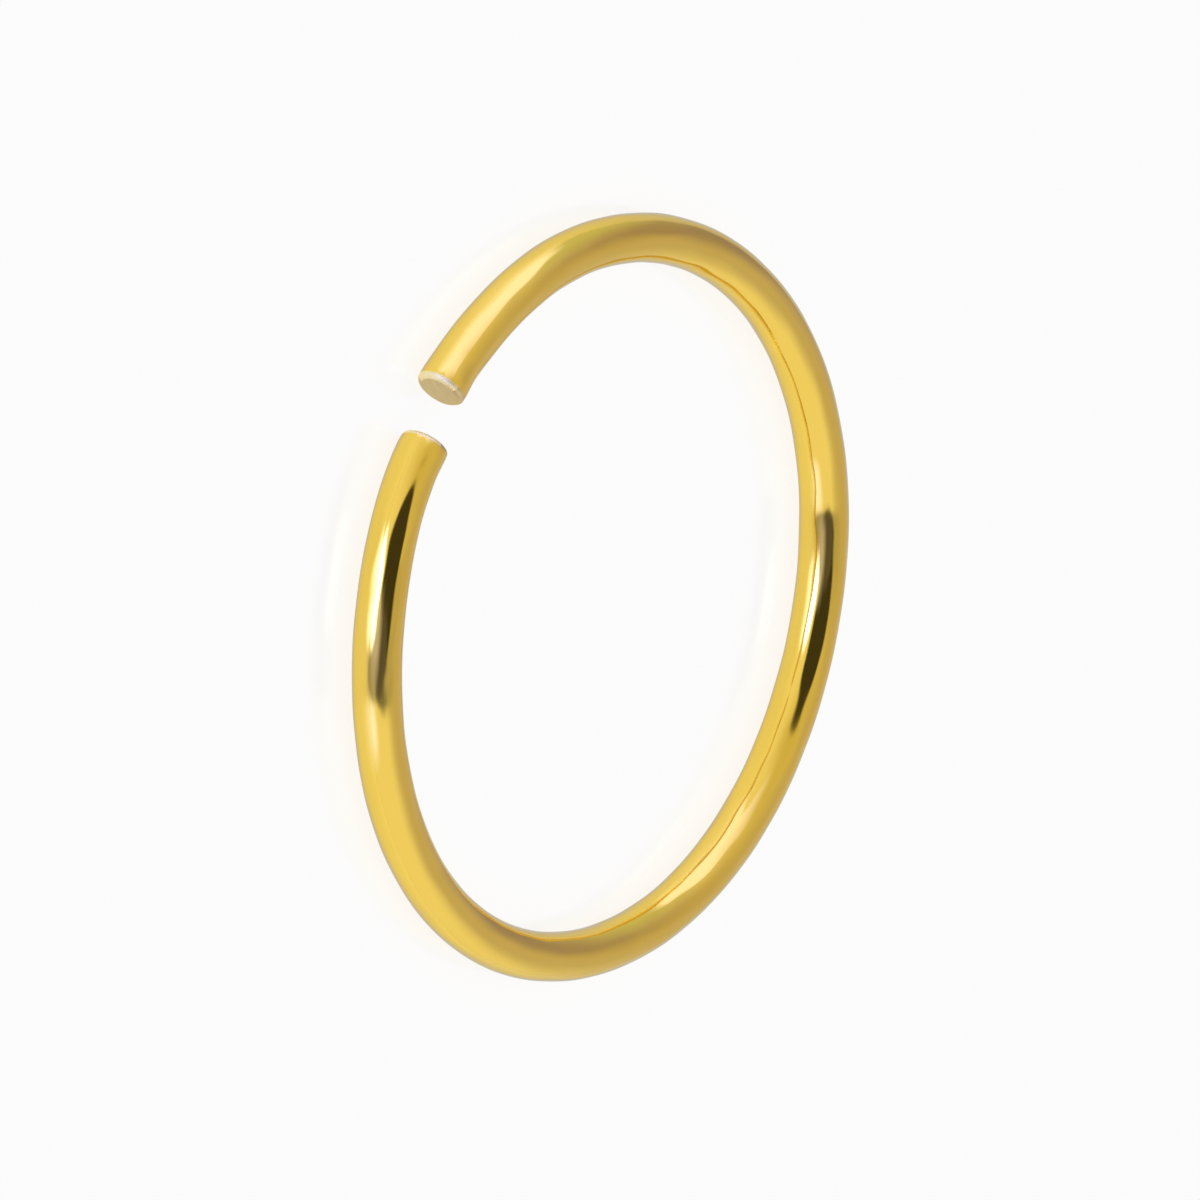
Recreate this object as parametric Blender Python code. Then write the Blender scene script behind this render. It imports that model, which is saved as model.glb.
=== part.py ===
"""Open nose ring: one length of round gold wire bent into a hoop, with a narrow gap.

The hoop lies on its side as it would on a table: Z = 0 is the surface under it, +Z runs
along the hoop's axis, and the gap faces -Y. Angles along the wire are measured from the
middle of the gap, anticlockwise seen from above, so the tucked end comes first and the
sprung end last. Lengths are in metres.
"""

import math

import bmesh
import bpy
from mathutils import Vector

# Wire and hoop
INNER_DIAMETER = 0.0080        # clear width inside the hoop
WIRE_DIAMETER = 0.0006         # round wire, 22 gauge
END_GAP = 0.00057              # space between the two cut faces, along the hoop

# How the hoop was left by hand bending
SPRUNG_END_OUT = 0.00010       # how far the last end stands outside the hoop's line
SPRUNG_END_LENGTH = 0.0018     # wire that curves outward before that end
TUCKED_END_IN = 0.00008        # how far the first end lies inside the hoop's line
TUCKED_END_LENGTH = 0.0011     # wire that curves inward before that end

# The snipped ends
CUT_RIM_ROUND = 0.00006        # rolled-over rim of each cut face
SPRUNG_END_SWELL = 0.000016    # how much the cutter fattened the last end, on the radius
TUCKED_END_SWELL = 0.000008    # how much it fattened the first end, on the radius
END_SWELL_LENGTH = 0.00045     # wire over which that swelling dies out

# Rolling marks around the hoop: high places all the way round, evenly spaced
# count of high places, their rise as a share of the hoop's radius, angle of the first one in degrees
LOBES = (
    {"count": 3, "rise": 0.0046, "first": 98.3},
    {"count": 4, "rise": 0.0047, "first": 71.9},
)

# Fineness of the solid
SECTIONS = 132                 # wire sections along the hoop
SIDES = 24                     # sides of a section, with one flat underneath and one on top
RIM_STEPS = 4                  # sections that round each rim
SMOOTH_ANGLE = math.radians(40)

# Finish
GOLD_COLOUR = (0.90, 0.66, 0.20, 1.0)
GOLD_ROUGHNESS = 0.08

# Worked out from the sizes above
WIRE_RADIUS = WIRE_DIAMETER / 2
HOOP_RADIUS = (INNER_DIAMETER + WIRE_DIAMETER) / 2
FIRST_ANGLE = END_GAP / 2 / HOOP_RADIUS
LAST_ANGLE = 2 * math.pi - FIRST_ANGLE


def clear_scene():
    for item in list(bpy.data.objects):
        bpy.data.objects.remove(item, do_unlink=True)


def end_stray(distance, reach, stray):
    """Sideways stray of wire that bends evenly over its last stretch, distance being from the end."""
    share = max(0.0, 1 - distance / reach)
    return stray * share ** 2


def line_radius(angle):
    """Distance of the wire's centre line from the hoop's axis."""
    lobes = sum(lobe["rise"] * math.cos(lobe["count"] * (angle - math.radians(lobe["first"])))
                for lobe in LOBES)
    to_tucked = (angle - FIRST_ANGLE) * HOOP_RADIUS
    to_sprung = (LAST_ANGLE - angle) * HOOP_RADIUS
    return (HOOP_RADIUS * (1 + lobes)
            + end_stray(to_sprung, SPRUNG_END_LENGTH, SPRUNG_END_OUT)
            - end_stray(to_tucked, TUCKED_END_LENGTH, TUCKED_END_IN))


def line_point(angle):
    """Point of the centre line, without its height."""
    radius = line_radius(angle)
    return Vector((radius * math.sin(angle), -radius * math.cos(angle), 0.0))


def outward(angle):
    """Level direction square to the wire, away from the hoop's axis."""
    step = 1e-4
    along = (line_point(angle + step) - line_point(angle - step)).normalized()
    return Vector((along.y, -along.x, 0.0))


def swollen_radius(angle):
    """Wire radius, fatter towards both snipped ends."""
    to_tucked = (angle - FIRST_ANGLE) * HOOP_RADIUS
    to_sprung = (LAST_ANGLE - angle) * HOOP_RADIUS
    swell = 0.0
    for distance, fattening in ((to_tucked, TUCKED_END_SWELL), (to_sprung, SPRUNG_END_SWELL)):
        share = max(0.0, 1 - distance / END_SWELL_LENGTH)
        swell += fattening * share ** 2 * (3 - 2 * share)
    return WIRE_RADIUS + swell


def section_stations():
    """Angle and rim shrinkage of every section, from the tucked end to the sprung end."""
    rim = []
    for step in range(RIM_STEPS + 1):
        turn = math.pi / 2 * step / RIM_STEPS
        setback = CUT_RIM_ROUND * (1 - math.cos(turn)) / HOOP_RADIUS
        rim.append((setback, CUT_RIM_ROUND * (1 - math.sin(turn))))
    start = FIRST_ANGLE + CUT_RIM_ROUND / HOOP_RADIUS
    length = LAST_ANGLE - CUT_RIM_ROUND / HOOP_RADIUS - start
    middle = [(start + length * i / (SECTIONS - 1), 0.0) for i in range(1, SECTIONS - 1)]
    first = [(FIRST_ANGLE + setback, shrink) for setback, shrink in rim]
    last = [(LAST_ANGLE - setback, shrink) for setback, shrink in reversed(rim)]
    return first + middle + last


def section_points(angle, shrink):
    """Corners of one section. Flats lie underneath and on top, and the lowest is at Z = 0."""
    radius = swollen_radius(angle)
    corner_radius = (radius - shrink) / math.cos(math.pi / SIDES)
    centre = line_point(angle) + Vector((0.0, 0.0, radius))
    sideways = outward(angle)
    points = []
    for side in range(SIDES):
        turn = 2 * math.pi * (side + 0.5) / SIDES
        points.append(centre + corner_radius * (math.sin(turn) * sideways
                                                + math.cos(turn) * Vector((0.0, 0.0, 1.0))))
    return points


def wire_mesh():
    """Closed skin of the wire: bands between neighbouring sections, and a flat face at each end."""
    shape = bmesh.new()
    rings = [[shape.verts.new(point) for point in section_points(angle, shrink)]
             for angle, shrink in section_stations()]
    for near, far in zip(rings, rings[1:]):
        for side in range(SIDES):
            beside = (side + 1) % SIDES
            shape.faces.new((near[side], near[beside], far[beside], far[side]))
    shape.faces.new(rings[0])
    shape.faces.new(reversed(rings[-1]))
    bmesh.ops.recalc_face_normals(shape, faces=shape.faces)
    mesh = bpy.data.meshes.new("hoop_wire")
    shape.to_mesh(mesh)
    shape.free()
    mesh.shade_smooth()
    mesh.set_sharp_from_angle(angle=SMOOTH_ANGLE)
    return mesh


def polished_gold():
    material = bpy.data.materials.new("polished_gold")
    material.use_nodes = True
    shader = material.node_tree.nodes["Principled BSDF"]
    shader.inputs["Base Color"].default_value = GOLD_COLOUR
    shader.inputs["Metallic"].default_value = 1.0
    shader.inputs["Roughness"].default_value = GOLD_ROUGHNESS
    return material


def hoop_wire():
    mesh = wire_mesh()
    mesh.materials.append(polished_gold())
    piece = bpy.data.objects.new("hoop_wire", mesh)
    bpy.context.scene.collection.objects.link(piece)
    return piece


clear_scene()
hoop_wire()
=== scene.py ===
"""Plain open nose hoop of gold-plated wire, dressed for its photograph.

The hoop lies on its side on a pale floor, inside a soft studio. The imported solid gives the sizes;
a finer, truly round wire stands for it here. Lengths are in metres unless a name says otherwise.
"""

import math

import bpy
from mathutils import Matrix, Vector, noise


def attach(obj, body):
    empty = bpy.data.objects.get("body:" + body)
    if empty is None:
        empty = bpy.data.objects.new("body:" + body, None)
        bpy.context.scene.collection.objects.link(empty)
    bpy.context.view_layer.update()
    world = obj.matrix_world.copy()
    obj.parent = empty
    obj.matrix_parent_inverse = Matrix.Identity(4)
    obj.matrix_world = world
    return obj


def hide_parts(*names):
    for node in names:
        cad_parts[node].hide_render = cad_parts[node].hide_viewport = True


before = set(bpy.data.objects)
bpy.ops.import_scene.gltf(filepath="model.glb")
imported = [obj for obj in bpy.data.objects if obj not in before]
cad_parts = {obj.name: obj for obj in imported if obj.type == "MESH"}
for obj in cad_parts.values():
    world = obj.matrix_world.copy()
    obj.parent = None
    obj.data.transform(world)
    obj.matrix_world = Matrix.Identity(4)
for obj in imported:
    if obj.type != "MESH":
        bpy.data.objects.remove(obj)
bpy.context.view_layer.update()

# Wire and hoop, the same as the solid's
WIRE_RADIUS = 0.0003
HOOP_RADIUS = 0.0043
END_GAP = 0.00057
FIRST_ANGLE = END_GAP / 2 / HOOP_RADIUS
LAST_ANGLE = 2 * math.pi - FIRST_ANGLE

# How the hoop was left by hand bending, the same as the solid's
SPRUNG_END_OUT = 0.00010
SPRUNG_END_LENGTH = 0.0018
TUCKED_END_IN = 0.00008
TUCKED_END_LENGTH = 0.0011
LOBES = (
    {"count": 3, "rise": 0.0046, "first": 98.3},
    {"count": 4, "rise": 0.0047, "first": 71.9},
)

# The snipped ends, the same as the solid's
CUT_RIM_ROUND = 0.00006
SPRUNG_END_SWELL = 0.000016
TUCKED_END_SWELL = 0.000008
END_SWELL_LENGTH = 0.00045

# Fineness of the shown wire
SECTIONS = 640                 # wire sections along the hoop
SIDES = 96                     # sides of a section
RIM_STEPS = 10                 # sections that round each rim
FACE_RINGS = 12                # rings of each cut face, from its rim to its middle
SMOOTH_ANGLE = math.radians(40)

# Unevenness of hand-drawn and polished wire
WAVE_DEPTH = 0.000010          # deepest hollow of the polished skin
WAVE_LENGTH = 0.0005           # from hollow to hollow along the wire
WAVES_ROUND = 2.0              # how quickly the hollows change round the wire
SHEAR_RELIEF = 0.000006        # unevenness of the snipped faces
SHEAR_OUTWARD = 1.5            # how quickly it changes over a wire radius, outward from the hoop
SHEAR_UPWARD = 6.0             # and upward, so that the shear lines run level
SHEAR_START = 1 / 6            # share of the face, from its edge, over which it sets in

# What snipping did besides the swelling, too fine for the solid, and where the rim carries a painted
# highlight
ROLL_DEPTH = 0.000015          # how far the skin rolls in before each rim
ROLL_LENGTH = 0.00020          # wire over which it does
HIGHLIGHT_SIDE = math.radians(76)  # where round the wire the rim's painted highlight lies, from its top outward
HIGHLIGHT_REACH = math.radians(62)  # how far that painted highlight runs to either side of it

# Where the photograph was taken from
PHOTO_SIDE = 1200              # pixels
PHOTO_SCALE = 85110            # pixels for a metre at the hoop's middle
HOOP_MIDDLE_PIXEL = (601.0, 596.7)
CAMERA_AZIMUTH = math.radians(22.75)
CAMERA_ELEVATION = math.radians(36.26)
CAMERA_ROLL = math.radians(101.37)
CAMERA_DISTANCE = 0.4988
SENSOR_WIDTH = 36.0            # millimetres, like the lens

# The pale floor and the soft lamp over it
FLOOR_RADIUS = 0.6
FLOOR_COLOUR = "#757574"
FLOOR_GLOW = 0.88              # brightness of the lit floor by itself, white being 1
HORIZON_GLOW = 0.18            # the same where it is seen at a grazing angle
LAMP_HEIGHT = 0.5
LAMP_SIZE = 0.6
LAMP_POWER = 0.6               # watts

# Order of the wire's finishes, the last a paler metal that paints the rim's highlight
PLATED, SNIPPED, RIM_HIGHLIGHT = 0, 1, 2

# Sockets of a colour Mix node
FACTOR, BEFORE, PAINT, MIXED = 0, 6, 7, 2


def linear(hex_colour):
    """An sRGB hex colour as linear red, green, blue and alpha."""
    shades = [int(hex_colour[i:i + 2], 16) / 255 for i in (1, 3, 5)]
    return tuple(s / 12.92 if s <= 0.04045 else ((s + 0.055) / 1.055) ** 2.4 for s in shades) + (1.0,)


def brightened(hex_colour, brightness):
    """A colour as bright light: its linear shades times the brightness."""
    return tuple(brightness * shade for shade in linear(hex_colour)[:3]) + (1.0,)


def add(tree, kind, sockets=None, **settings):
    """Adds a node, sets its settings, and fills its sockets with values or with links."""
    node = tree.nodes.new(kind)
    for name, setting in settings.items():
        setattr(node, name, setting)
    for socket, value in (sockets or {}).items():
        if isinstance(value, bpy.types.NodeSocket):
            tree.links.new(value, node.inputs[socket])
        else:
            node.inputs[socket].default_value = value
    return node


# Shape of the wire

def end_stray(distance, reach, stray):
    """Sideways stray of wire that bends evenly over its last stretch, distance being from the end."""
    share = max(0.0, 1 - distance / reach)
    return stray * share ** 2


def line_radius(angle):
    """Distance of the wire's centre line from the hoop's axis."""
    lobes = sum(lobe["rise"] * math.cos(lobe["count"] * (angle - math.radians(lobe["first"])))
                for lobe in LOBES)
    to_tucked = (angle - FIRST_ANGLE) * HOOP_RADIUS
    to_sprung = (LAST_ANGLE - angle) * HOOP_RADIUS
    return (HOOP_RADIUS * (1 + lobes)
            + end_stray(to_sprung, SPRUNG_END_LENGTH, SPRUNG_END_OUT)
            - end_stray(to_tucked, TUCKED_END_LENGTH, TUCKED_END_IN))


def line_point(angle):
    """Point of the centre line, without its height."""
    radius = line_radius(angle)
    return Vector((radius * math.sin(angle), -radius * math.cos(angle), 0.0))


def wire_directions(angle):
    """Directions along the wire and level outward from the hoop."""
    step = 1e-4
    along = (line_point(angle + step) - line_point(angle - step)).normalized()
    return along, Vector((along.y, -along.x, 0.0))


def swollen_radius(angle):
    """Wire radius, fatter towards both snipped ends."""
    to_tucked = (angle - FIRST_ANGLE) * HOOP_RADIUS
    to_sprung = (LAST_ANGLE - angle) * HOOP_RADIUS
    swell = 0.0
    for distance, fattening in ((to_tucked, TUCKED_END_SWELL), (to_sprung, SPRUNG_END_SWELL)):
        share = max(0.0, 1 - distance / END_SWELL_LENGTH)
        swell += fattening * share ** 2 * (3 - 2 * share)
    return WIRE_RADIUS + swell


def hollow_depth(along, turn):
    """Depth of the shallow hollows that drawing and polishing leave in the wire's skin."""
    spot = Vector((along / WAVE_LENGTH, WAVES_ROUND * math.sin(turn), WAVES_ROUND * math.cos(turn)))
    return WAVE_DEPTH * (0.5 + 0.5 * noise.noise(spot))


def skin_reach(angle, turn):
    """Distance of the polished skin from the wire's centre line."""
    to_end = min(angle - FIRST_ANGLE, LAST_ANGLE - angle) * HOOP_RADIUS
    rolled_in = ROLL_DEPTH * max(0.0, 1 - to_end / ROLL_LENGTH) ** 2
    return swollen_radius(angle) - rolled_in - hollow_depth(angle * HOOP_RADIUS, turn)


def stations():
    """Angle and rim shrinkage of every section, from the tucked end to the sprung end."""
    rim = []
    for step in range(RIM_STEPS + 1):
        turn = math.pi / 2 * step / RIM_STEPS
        setback = CUT_RIM_ROUND * (1 - math.cos(turn)) / HOOP_RADIUS
        rim.append((setback, CUT_RIM_ROUND * (1 - math.sin(turn))))
    start = FIRST_ANGLE + CUT_RIM_ROUND / HOOP_RADIUS
    length = LAST_ANGLE - CUT_RIM_ROUND / HOOP_RADIUS - start
    middle = [(start + length * i / (SECTIONS - 1), 0.0) for i in range(1, SECTIONS - 1)]
    first = [(FIRST_ANGLE + setback, shrink) for setback, shrink in rim]
    last = [(LAST_ANGLE - setback, shrink) for setback, shrink in reversed(rim)]
    return first + middle + last


def section(angle, shrink):
    """Points of one section, with each point's place on the wire as if it were pulled straight."""
    centre = line_point(angle) + Vector((0.0, 0.0, swollen_radius(angle)))
    outward = wire_directions(angle)[1]
    distance = angle * HOOP_RADIUS
    points, places = [], []
    for side in range(SIDES):
        turn = 2 * math.pi * side / SIDES
        reach = skin_reach(angle, turn) - shrink
        across, up = reach * math.sin(turn), reach * math.cos(turn)
        points.append(centre + across * outward + Vector((0.0, 0.0, up)))
        places.append(Vector((distance, across, up)))
    return points, places


def face_ring(angle, shrink_share, toward_gap):
    """Points of one ring of a cut face: the rim's inner edge drawn in towards the middle."""
    centre = line_point(angle) + Vector((0.0, 0.0, swollen_radius(angle)))
    along, outward = wire_directions(angle)
    distance = angle * HOOP_RADIUS
    points, places = [], []
    for side in range(SIDES):
        turn = 2 * math.pi * side / SIDES
        reach = (skin_reach(angle, turn) - CUT_RIM_ROUND) * (1 - shrink_share)
        across, up = reach * math.sin(turn), reach * math.cos(turn)
        spot = Vector((across / WIRE_RADIUS * SHEAR_OUTWARD, up / WIRE_RADIUS * SHEAR_UPWARD, toward_gap))
        sink = SHEAR_RELIEF * min(1.0, shrink_share / SHEAR_START) * (0.5 + 0.5 * noise.noise(spot))
        points.append(centre + across * outward + Vector((0.0, 0.0, up)) - toward_gap * sink * along)
        places.append(Vector((distance, across, up)))
    return points, places


def finish_of(rows_from_end, turn):
    """Finish of one face of the wire, by its row and its place round the wire."""
    if rows_from_end >= FACE_RINGS - 1 + RIM_STEPS:
        return PLATED
    # The upper outer side of the rim takes a paler satin metal, a painted highlight where the rim catches
    # the bright studio
    on_highlight_side = math.cos(turn - HIGHLIGHT_SIDE) > math.cos(HIGHLIGHT_REACH)
    if rows_from_end >= FACE_RINGS - 1 and on_highlight_side:
        return RIM_HIGHLIGHT
    return SNIPPED


def fine_wire_mesh():
    """The whole wire: its skin from rim to rim, and the rings that close both cut faces."""
    rows = [section(angle, shrink) for angle, shrink in stations()]
    for number in range(1, FACE_RINGS):
        share = number / FACE_RINGS
        rows.insert(0, face_ring(FIRST_ANGLE, share, -1))
        rows.append(face_ring(LAST_ANGLE, share, 1))
    points = [point for row in rows for point in row[0]]
    places = [place for row in rows for place in row[1]]
    faces, finishes = [], []
    for row in range(len(rows) - 1):
        near, far = row * SIDES, (row + 1) * SIDES
        rows_from_end = min(row, len(rows) - 2 - row)
        for side in range(SIDES):
            beside = (side + 1) % SIDES
            faces.append((near + side, far + side, far + beside, near + beside))
            finishes.append(finish_of(rows_from_end, 2 * math.pi * side / SIDES))
    for row, way in ((0, 1), (len(rows) - 1, -1)):
        corners = [row * SIDES + side for side in range(SIDES)]
        faces.append(corners[::way])
        finishes.append(SNIPPED)
    mesh = bpy.data.meshes.new("fine_hoop_wire")
    mesh.from_pydata(points, [], faces)
    mesh.polygons.foreach_set("material_index", finishes)
    place = mesh.attributes.new("pulled_straight", "FLOAT_VECTOR", "POINT")
    place.data.foreach_set("vector", [value * 1000 for spot in places for value in spot])
    mesh.shade_smooth()
    mesh.set_sharp_from_angle(angle=SMOOTH_ANGLE)
    return mesh


# Finishes

def new_metal(name):
    """A metal with its nodes, its shader and the place on the straightened wire, in millimetres."""
    material = bpy.data.materials.new(name)
    material.use_nodes = True
    tree = material.node_tree
    shader = tree.nodes["Principled BSDF"]
    shader.inputs["Metallic"].default_value = 1.0
    place = add(tree, "ShaderNodeAttribute", attribute_name="pulled_straight").outputs["Vector"]
    return material, tree, shader, place


def polished_gold_plating():
    """Yellow gold plating on drawn brass wire, polished: sharp mirror images, a little streaked."""
    material, tree, shader, place = new_metal("polished_gold_plating")

    # A thin haze on the plating dulls its mirror where the wire turns away
    shader.inputs["Specular Tint"].default_value = linear("#D0D7E9")

    # Plating a little paler or deeper from place to place, over 1 to 2 mm
    tone = add(tree, "ShaderNodeTexNoise", {"Vector": place, "Scale": 0.8, "Detail": 2.0})
    colour = add(tree, "ShaderNodeMix",
                 {FACTOR: tone.outputs[0], BEFORE: linear("#EECD5E"), PAINT: linear("#EBC753")},
                 data_type="RGBA")
    tree.links.new(colour.outputs[MIXED], shader.inputs["Base Color"])

    # Drawing lines along the wire: real ones are about 5 microns apart, drawn 25 so that they show
    stretched = add(tree, "ShaderNodeMapping", {"Vector": place, "Scale": (0.7, 40.0, 40.0)})
    lines = add(tree, "ShaderNodeTexNoise",
                {"Vector": stretched.outputs["Vector"], "Scale": 1.0, "Detail": 3.0})
    haze = add(tree, "ShaderNodeTexNoise", {"Vector": place, "Scale": 3.0, "Detail": 3.0})
    both = add(tree, "ShaderNodeMath", {0: lines.outputs[0], 1: haze.outputs[0]}, operation="MULTIPLY")
    roughness = add(tree, "ShaderNodeMapRange",
                    {"Value": both.outputs[0], "From Min": 0.1, "From Max": 0.45,
                     "To Min": 0.05, "To Max": 0.12})
    tree.links.new(roughness.outputs["Result"], shader.inputs["Roughness"])
    relief = add(tree, "ShaderNodeBump",
                 {"Height": lines.outputs[0], "Strength": 0.12, "Distance": 0.000002})
    tree.links.new(relief.outputs["Normal"], shader.inputs["Normal"])
    return material


def snipped_brass():
    """Bare brass where the cutter sheared the wire: paler and duller than the plating."""
    material, tree, shader, place = new_metal("snipped_brass")

    # Shear lines across the face, 40 microns apart
    stretched = add(tree, "ShaderNodeMapping", {"Vector": place, "Scale": (1.0, 4.0, 25.0)})
    lines = add(tree, "ShaderNodeTexNoise",
                {"Vector": stretched.outputs["Vector"], "Scale": 1.0, "Detail": 4.0})
    colour = add(tree, "ShaderNodeMix",
                 {FACTOR: lines.outputs[0], BEFORE: linear("#B6A168"), PAINT: linear("#F0DAA2")},
                 data_type="RGBA")
    tree.links.new(colour.outputs[MIXED], shader.inputs["Base Color"])
    roughness = add(tree, "ShaderNodeMapRange",
                    {"Value": lines.outputs[0], "From Min": 0.3, "From Max": 0.7,
                     "To Min": 0.42, "To Max": 0.6})
    tree.links.new(roughness.outputs["Result"], shader.inputs["Roughness"])
    relief = add(tree, "ShaderNodeBump",
                 {"Height": lines.outputs[0], "Strength": 0.4, "Distance": 0.000004})
    tree.links.new(relief.outputs["Normal"], shader.inputs["Normal"])
    return material


def rim_painted_highlight():
    """Paler satin metal on the rim's upper outer side, a painted highlight for the band of light the rim
    catches there: pale beside the mirror polish.
    """
    material, tree, shader, place = new_metal("rim_painted_highlight")

    # Paler and deeper flecks, 30 to 60 microns across
    rim_flecks = add(tree, "ShaderNodeTexNoise", {"Vector": place, "Scale": 20.0, "Detail": 3.0})
    colour = add(tree, "ShaderNodeMix",
                 {FACTOR: rim_flecks.outputs[0], BEFORE: linear("#ECD78E"), PAINT: linear("#FFF2C0")},
                 data_type="RGBA")
    tree.links.new(colour.outputs[MIXED], shader.inputs["Base Color"])
    roughness = add(tree, "ShaderNodeMapRange",
                    {"Value": rim_flecks.outputs[0], "From Min": 0.3, "From Max": 0.7,
                     "To Min": 0.52, "To Max": 0.62})
    tree.links.new(roughness.outputs["Result"], shader.inputs["Roughness"])
    return material


def satin_opal_acrylic():
    """Cast opal acrylic with a satin face, lit from below, so the floor stays pale with a faint shadow."""
    material = bpy.data.materials.new("satin_opal_acrylic")
    material.use_nodes = True
    tree = material.node_tree
    shader = tree.nodes["Principled BSDF"]
    shader.inputs["Base Color"].default_value = linear(FLOOR_COLOUR)
    shader.inputs["Roughness"].default_value = 0.15
    shader.inputs["IOR"].default_value = 1.49
    shader.inputs["Emission Color"].default_value = linear("#FFFFFF")

    # Less light leaves the sheet at grazing angles, where its face mirrors instead
    mirrored = add(tree, "ShaderNodeFresnel", {"IOR": 1.49})
    glow = add(tree, "ShaderNodeMapRange",
               {"Value": mirrored.outputs["Fac"], "To Min": FLOOR_GLOW, "To Max": HORIZON_GLOW})
    tree.links.new(glow.outputs["Result"], shader.inputs["Emission Strength"])
    return material


# The hoop and its floor

def shown_hoop():
    mesh = fine_wire_mesh()
    mesh.materials.append(polished_gold_plating())
    mesh.materials.append(snipped_brass())
    mesh.materials.append(rim_painted_highlight())
    hoop = bpy.data.objects.new("nose_hoop_wire", mesh)
    bpy.context.scene.collection.objects.link(hoop)
    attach(hoop, "root")
    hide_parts("hoop_wire")
    return hoop


def floor():
    mesh = bpy.data.meshes.new("pale_floor")
    corners = [(FLOOR_RADIUS * x, FLOOR_RADIUS * y, 0.0) for x, y in ((-1, -1), (1, -1), (1, 1), (-1, 1))]
    mesh.from_pydata(corners, [], [(0, 1, 2, 3)])
    mesh.materials.append(satin_opal_acrylic())
    piece = bpy.data.objects.new("pale_floor", mesh)
    bpy.context.scene.collection.objects.link(piece)
    return piece


# Camera

def camera_directions():
    """Directions back to the camera, to the picture's right and to its top."""
    level = math.cos(CAMERA_ELEVATION)
    back = Vector((math.sin(CAMERA_AZIMUTH) * level, -math.cos(CAMERA_AZIMUTH) * level,
                   math.sin(CAMERA_ELEVATION)))
    right = Vector((math.cos(CAMERA_AZIMUTH), math.sin(CAMERA_AZIMUTH), 0.0))
    up = back.cross(right)
    picture_right = math.cos(CAMERA_ROLL) * right + math.sin(CAMERA_ROLL) * up
    picture_up = math.cos(CAMERA_ROLL) * up - math.sin(CAMERA_ROLL) * right
    return back, picture_right, picture_up


def photo_camera():
    back, right, up = camera_directions()
    middle = Vector((0.0, 0.0, WIRE_RADIUS))
    off_right = (HOOP_MIDDLE_PIXEL[0] - PHOTO_SIDE / 2) / PHOTO_SCALE
    off_up = (PHOTO_SIDE / 2 - HOOP_MIDDLE_PIXEL[1]) / PHOTO_SCALE
    camera = bpy.data.objects.new("photo_camera", bpy.data.cameras.new("photo_camera"))
    camera.data.sensor_width = SENSOR_WIDTH
    camera.data.lens = PHOTO_SCALE * CAMERA_DISTANCE * SENSOR_WIDTH / PHOTO_SIDE
    turn = Matrix((right, up, back)).transposed()
    place = middle - off_right * right - off_up * up + CAMERA_DISTANCE * back
    camera.matrix_world = Matrix.Translation(place) @ turn.to_4x4()
    bpy.context.scene.collection.objects.link(camera)
    bpy.context.scene.camera = camera


# Studio

# What surrounds the hoop, laid out as it would show in a polished ball in the hoop's place, seen from
# the camera: centre and half size in ball radii, tilt in degrees, the share of the half size over which
# its edge fades, its colour and its brightness. Later ones stand in front of earlier ones.
STUDIO = (
    # Glow of the tent over the sweep
    {"centre": (0.48, 0.72), "half": (1.57, 0.65), "tilt": -50, "fade": 0.33,
     "colour": "#F1EEFF", "bright": 1.40},
    # Its shaded top
    {"centre": (0.24, 0.83), "half": (1.23, 0.58), "tilt": -24, "fade": 0.70,
     "colour": "#F7FFFB", "bright": 0.76},
    # Its shaded right side
    {"centre": (0.81, 0.41), "half": (0.48, 1.70), "tilt": -8, "fade": 0.97,
     "colour": "#DCD0FF", "bright": 0.61},
    # Soft box, its broad upper part and its right end
    {"centre": (0.01, 0.63), "half": (0.43, 0.20), "tilt": -12, "fade": 0.24,
     "colour": "#B4B4FF", "bright": 3.10},
    {"centre": (0.26, 0.45), "half": (0.26, 0.185), "tilt": -63, "fade": 0.22,
     "colour": "#ABAEFF", "bright": 3.40},
    # Lit patch of the sweep
    {"centre": (-0.27, -0.35), "half": (0.32, 0.11), "tilt": 0, "fade": 0.80,
     "colour": "#9DA5FF", "bright": 3.90},
    # Dim edge of the table
    {"centre": (0.14, -0.20), "half": (0.60, 0.096), "tilt": 4, "fade": 0.25,
     "colour": "#D8DAFF", "bright": 0.58},
    # Warm light round the camera opening
    {"centre": (0.39, 0.08), "half": (0.65, 0.38), "tilt": -31, "fade": 0.87,
     "colour": "#FFF6D5", "bright": 0.75},
    # Bare lamp beside the camera
    {"centre": (-0.215, -0.046), "half": (0.135, 0.16), "tilt": 0, "fade": 0.45,
     "colour": "#8294FF", "bright": 12.00},
    # Dark camera opening
    {"centre": (0.21, -0.062), "half": (0.295, 0.203), "tilt": -17, "fade": 0.20,
     "colour": "#F4EBD8", "bright": 0.065},
    # Paler lower part of that opening
    {"centre": (0.12, -0.212), "half": (0.29, 0.094), "tilt": 1, "fade": 0.26,
     "colour": "#CCCCFF", "bright": 0.20},
    # Pale card below the lamp
    {"centre": (-0.09, -0.18), "half": (0.26, 0.14), "tilt": 8, "fade": 1.00,
     "colour": "#A8AAFF", "bright": 1.70},
)
TENT_WALL = "#FAF9FF"
TENT_BRIGHTNESS = 1.08
SOFT_LIGHT = 0.40              # brightness of the tent as the floor sees it
PALE_BACKGROUND = 0.97         # brightness of the tent as the camera sees it


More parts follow.
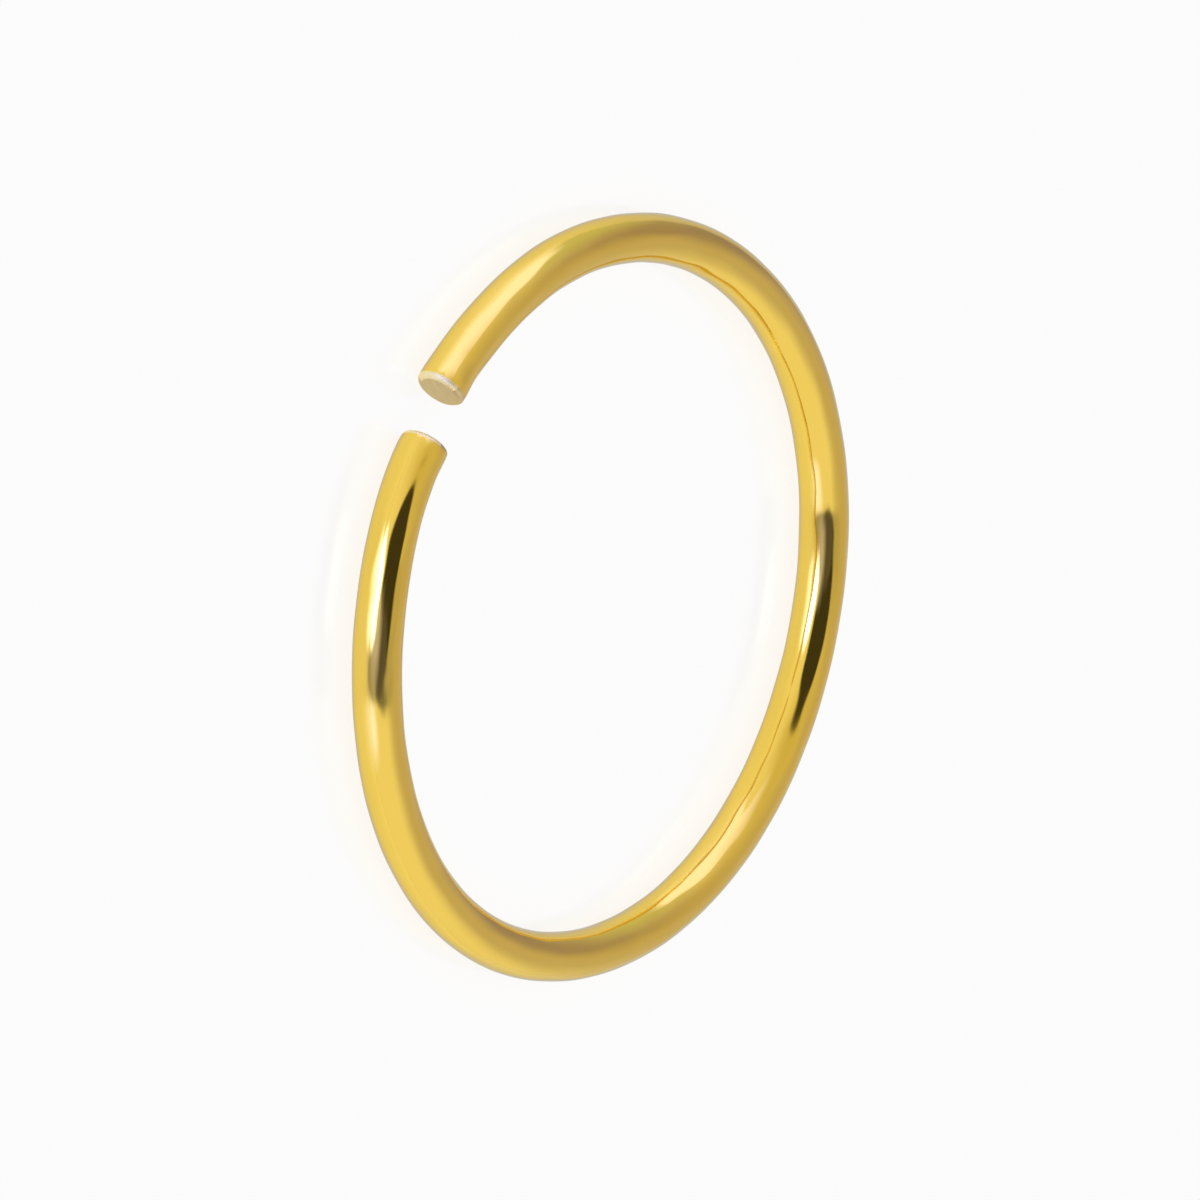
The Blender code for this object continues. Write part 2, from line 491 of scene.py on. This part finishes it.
def studio_world():
    world = bpy.data.worlds.new("soft_studio")
    bpy.context.scene.world = world
    world.use_nodes = True
    tree = world.node_tree
    tree.nodes.clear()
    back, right, up = camera_directions()
    way = add(tree, "ShaderNodeTexCoord").outputs["Generated"]
    half_way = add(tree, "ShaderNodeVectorMath", {0: way, 1: back}, operation="ADD")
    facing = add(tree, "ShaderNodeVectorMath", {0: half_way.outputs[0]}, operation="NORMALIZE")
    ball_x = add(tree, "ShaderNodeVectorMath", {0: facing.outputs[0], 1: right}, operation="DOT_PRODUCT")
    ball_y = add(tree, "ShaderNodeVectorMath", {0: facing.outputs[0], 1: up}, operation="DOT_PRODUCT")
    ball = add(tree, "ShaderNodeCombineXYZ", {"X": ball_x.outputs["Value"], "Y": ball_y.outputs["Value"]})
    seen = brightened(TENT_WALL, TENT_BRIGHTNESS)
    for patch in STUDIO:
        inside = add(tree, "ShaderNodeMapping",
                     {"Vector": ball.outputs[0], "Location": (*patch["centre"], 0.0),
                      "Rotation": (0.0, 0.0, math.radians(patch["tilt"])),
                      "Scale": (*patch["half"], 1.0)},
                     vector_type="TEXTURE")
        depth = add(tree, "ShaderNodeTexGradient", {"Vector": inside.outputs[0]},
                    gradient_type="SPHERICAL")
        cover = add(tree, "ShaderNodeMapRange",
                    {"Value": depth.outputs["Fac"], "From Max": patch["fade"]},
                    interpolation_type="SMOOTHSTEP")
        seen = add(tree, "ShaderNodeMix",
                   {FACTOR: cover.outputs["Result"], BEFORE: seen,
                    PAINT: brightened(patch["colour"], patch["bright"])},
                   data_type="RGBA").outputs[MIXED]
    ray = add(tree, "ShaderNodeLightPath")
    soft = add(tree, "ShaderNodeMix",
               {FACTOR: ray.outputs["Is Camera Ray"], BEFORE: (SOFT_LIGHT,) * 3 + (1.0,),
                PAINT: (PALE_BACKGROUND,) * 3 + (1.0,)},
               data_type="RGBA")
    light = add(tree, "ShaderNodeMix",
                {FACTOR: ray.outputs["Is Glossy Ray"], BEFORE: soft.outputs[MIXED], PAINT: seen},
                data_type="RGBA")
    background = add(tree, "ShaderNodeBackground", {"Color": light.outputs[MIXED]})
    add(tree, "ShaderNodeOutputWorld", {"Surface": background.outputs[0]})


def overhead_lamp():
    lamp = bpy.data.objects.new("overhead_lamp", bpy.data.lights.new("overhead_lamp", "AREA"))
    lamp.data.shape = "DISK"
    lamp.data.size = LAMP_SIZE
    lamp.data.energy = LAMP_POWER
    lamp.location = (0.0, 0.0, LAMP_HEIGHT)
    lamp.visible_glossy = False
    lamp.visible_camera = False
    bpy.context.scene.collection.objects.link(lamp)


shown_hoop()
floor()
photo_camera()
studio_world()
overhead_lamp()
bpy.context.scene.view_settings.view_transform = "Standard"
